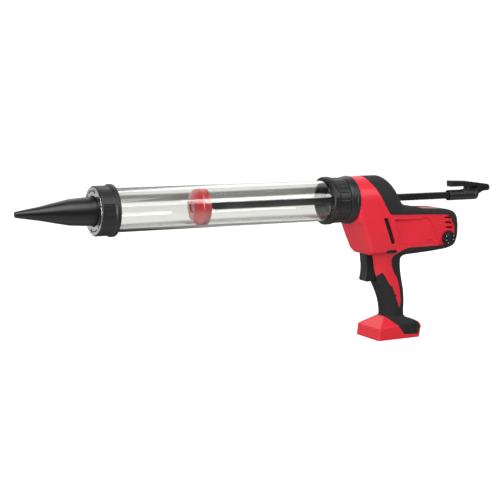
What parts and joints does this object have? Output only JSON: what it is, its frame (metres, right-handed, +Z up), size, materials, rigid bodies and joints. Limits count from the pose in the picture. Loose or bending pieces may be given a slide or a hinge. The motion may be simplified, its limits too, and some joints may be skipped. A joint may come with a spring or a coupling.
{
  "type": "caulking gun",
  "caption": "Cordless caulking gun with a clear sausage barrel, cone nozzle, toothed push rod, pistol grip, trigger, speed dial and slide-on battery foot.",
  "frame": {"origin": "centre of the battery foot's underside, on the plane of symmetry", "axes": "+X forward along the barrel to the nozzle, +Y to the tool's left, +Z up"},
  "size_m": [0.745, 0.072, 0.2385],
  "materials": {
    "red_shell": "satin moulded, slightly glossy",
    "rubber": "matt moulded rubber",
    "black_plastic": "satin moulded",
    "nozzle_black": "satin gloss",
    "clear_tube": "clear polycarbonate",
    "red_clear": "translucent red",
    "red_hub": "gloss",
    "rack_steel": "black oxide",
    "steel": "ground",
    "gear_steel": "oiled",
    "bronze": "sintered",
    "die_cast": "die cast",
    "motor_steel": "zinc plated",
    "magnet": "sintered",
    "copper": "enamelled wire",
    "white_plastic": "natural nylon",
    "board_green": "solder mask",
    "lead_red": "insulation",
    "lead_black": "insulation"
  },
  "bodies": {
    "housing": {"housing_left": "red_shell", "housing_right": "red_shell", "overmould_left": "rubber", "overmould_right": "rubber", "bezel_ring": "black_plastic", "housing_screws": "steel", "rear_bush": "white_plastic", "front_bush": "white_plastic", "gear_plate_left": "die_cast", "gear_plate_right": "die_cast", "output_bearings": "steel", "cross_bearings": "steel", "pinion_bearing": "steel", "gearbox_cover": "die_cast", "ring_gear": "gear_steel", "motor_can": "motor_steel", "motor_end_cap": "black_plastic", "motor_magnets": "magnet", "switch_body": "black_plastic", "trigger_spring": "steel", "speed_pot": "black_plastic", "control_board": "board_green", "terminal_block": "black_plastic", "terminal_blades": "bronze", "battery_leads": "lead_red", "motor_leads": "lead_black"},
    "rod": {"rack_rod": "rack_steel", "piston": "red_clear", "piston_hub": "red_hub", "piston_screw": "steel", "hook_handle": "black_plastic", "handle_pin": "steel"},
    "output_axle": {"rack_pinion": "gear_steel", "output_gear": "gear_steel", "output_shaft": "steel"},
    "cross_axle": {"cross_pinion": "gear_steel", "cross_shaft": "steel", "bevel_gear": "gear_steel"},
    "bevel_axle": {"bevel_pinion": "gear_steel", "driven_clutch_plate": "bronze"},
    "rotor": {"sun_gear": "gear_steel", "motor_shaft": "steel", "armature": "motor_steel", "winding_ends": "copper", "commutator": "copper", "cooling_fan": "white_plastic"},
    "carrier": {"planet_carrier": "gear_steel", "drive_clutch_plate": "bronze"},
    "planet_1": {"planet_gear_1": "gear_steel"},
    "planet_2": {"planet_gear_2": "gear_steel"},
    "planet_3": {"planet_gear_3": "gear_steel"},
    "barrel": {"barrel_tube": "clear_tube", "swivel_socket": "black_plastic", "locking_collar": "black_plastic"},
    "nozzle_body": {"nozzle": "nozzle_black"},
    "ring_body": {"front_ring": "black_plastic"},
    "trigger_body": {"trigger": "black_plastic"},
    "lock_body": {"lock_button": "black_plastic"},
    "dial_body": {"dial_knob": "black_plastic"}
  },
  "joints": [
    {"name": "rod_feed", "type": "slide", "parent": "housing", "child": "rod", "axis": [1, 0, 0], "range_m": [-0.2, 0.088]},
    {"name": "output_turn", "type": "hinge", "parent": "housing", "child": "output_axle", "pos_m": [0.035, 0, 0.193], "axis": [0, 1, 0], "range_deg": [-1640, 740]},
    {"name": "cross_turn", "type": "hinge", "parent": "housing", "child": "cross_axle", "pos_m": [0.035, 0, 0.15675], "axis": [0, 1, 0], "range_deg": [-1940, 4300]},
    {"name": "bevel_turn", "type": "hinge", "parent": "housing", "child": "bevel_axle", "pos_m": [0.01, 0, 0.15675], "axis": [1, 0, 0], "range_deg": [-3870, 8600]},
    {"name": "motor_spin", "type": "hinge", "parent": "housing", "child": "rotor", "pos_m": [-0.04, 0, 0.15675], "axis": [1, 0, 0], "continuous": true},
    {"name": "carrier_turn", "type": "hinge", "parent": "housing", "child": "carrier", "pos_m": [-0.005, 0, 0.15675], "axis": [1, 0, 0], "continuous": true},
    {"name": "planet_1_spin", "type": "hinge", "parent": "carrier", "child": "planet_1", "pos_m": [-0.0095, 0.01155, 0.15675], "axis": [1, 0, 0], "continuous": true},
    {"name": "planet_2_spin", "type": "hinge", "parent": "carrier", "child": "planet_2", "pos_m": [-0.0095, -0.00577, 0.16675], "axis": [1, 0, 0], "continuous": true},
    {"name": "planet_3_spin", "type": "hinge", "parent": "carrier", "child": "planet_3", "pos_m": [-0.0095, -0.00577, 0.14675], "axis": [1, 0, 0], "continuous": true},
    {"name": "trigger_pull", "type": "slide", "parent": "housing", "child": "trigger_body", "axis": [-1, 0, 0], "range_m": [0, 0.007], "stiffness_N_per_m": 600, "springref_m": -0.003, "deforming": ["trigger_spring"]},
    {"name": "lock_push", "type": "slide", "parent": "housing", "child": "lock_body", "axis": [0, 1, 0], "range_m": [-0.003, 0.003]},
    {"name": "dial_turn", "type": "hinge", "parent": "housing", "child": "dial_body", "pos_m": [-0.082, 0.03, 0.144], "axis": [0, 1, 0], "range_deg": [-135, 135]},
    {"name": "barrel_swivel", "type": "hinge", "parent": "housing", "child": "barrel", "pos_m": [0.08, 0, 0.204], "axis": [1, 0, 0], "continuous": true},
    {"name": "cap_travel", "type": "slide", "parent": "barrel", "child": "nozzle_body", "axis": [1, 0, 0], "range_m": [0, 0.0261]},
    {"name": "ring_unscrew", "type": "hinge", "parent": "nozzle_body", "child": "ring_body", "pos_m": [0.447, 0, 0.204], "axis": [1, 0, 0], "range_deg": [0, 1560]}
  ],
  "couplings": [
    {"joint": "output_turn", "follows": "rod_feed", "rad_per_m": 142.86},
    {"joint": "cross_turn", "follows": "rod_feed", "rad_per_m": -375},
    {"joint": "bevel_turn", "follows": "rod_feed", "rad_per_m": -750},
    {"joint": "carrier_turn", "follows": "motor_spin", "ratio": 0.22727},
    {"joint": "planet_1_spin", "follows": "motor_spin", "ratio": -0.64394},
    {"joint": "planet_2_spin", "follows": "motor_spin", "ratio": -0.64394},
    {"joint": "planet_3_spin", "follows": "motor_spin", "ratio": -0.64394},
    {"joint": "cap_travel", "follows": "ring_unscrew", "m_per_rad": 0.00095493}
  ]
}
